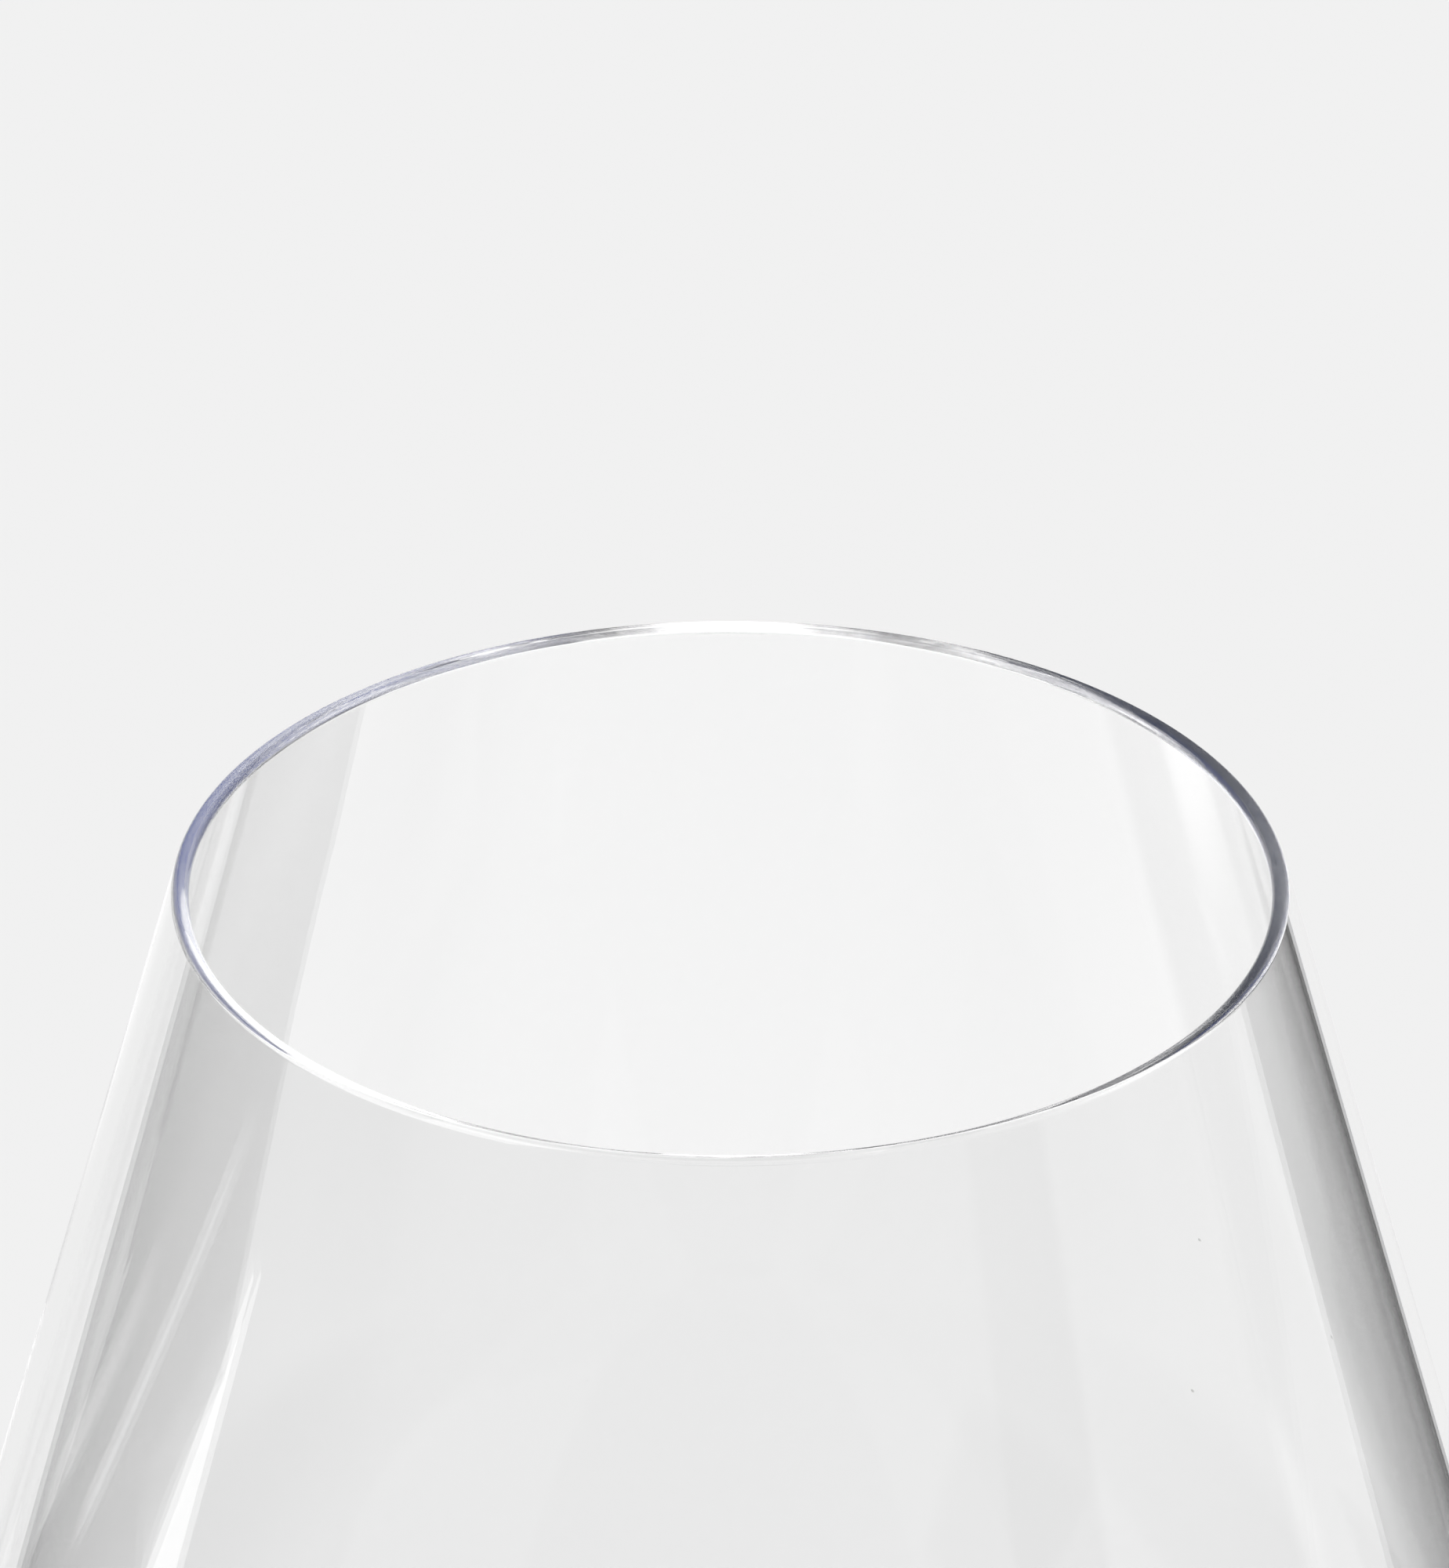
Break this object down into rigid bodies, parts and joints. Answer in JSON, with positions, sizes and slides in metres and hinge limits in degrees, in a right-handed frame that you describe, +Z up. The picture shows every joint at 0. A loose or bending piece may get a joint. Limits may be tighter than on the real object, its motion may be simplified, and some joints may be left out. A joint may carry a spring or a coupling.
{
  "type": "champagne glass",
  "caption": "Stemmed champagne glass with a thin clear tulip bowl that draws in to the rim, a slim stem and a flat round foot, for sparkling wine.",
  "frame": {"origin": "middle of the flat ring under the foot, on the surface that the glass stands on", "axes": "+Z up along the stem's axis towards the rim; the glass is round, so X and Y are free, and -Y faces the picture's camera"},
  "size_m": [0.078, 0.078, 0.24],
  "materials": {
    "clear_glass": "polished clear crystal, very slightly blue-grey"
  },
  "bodies": {
    "root": {"bowl": "clear_glass", "stem": "clear_glass", "foot": "clear_glass"}
  },
  "joints": []
}
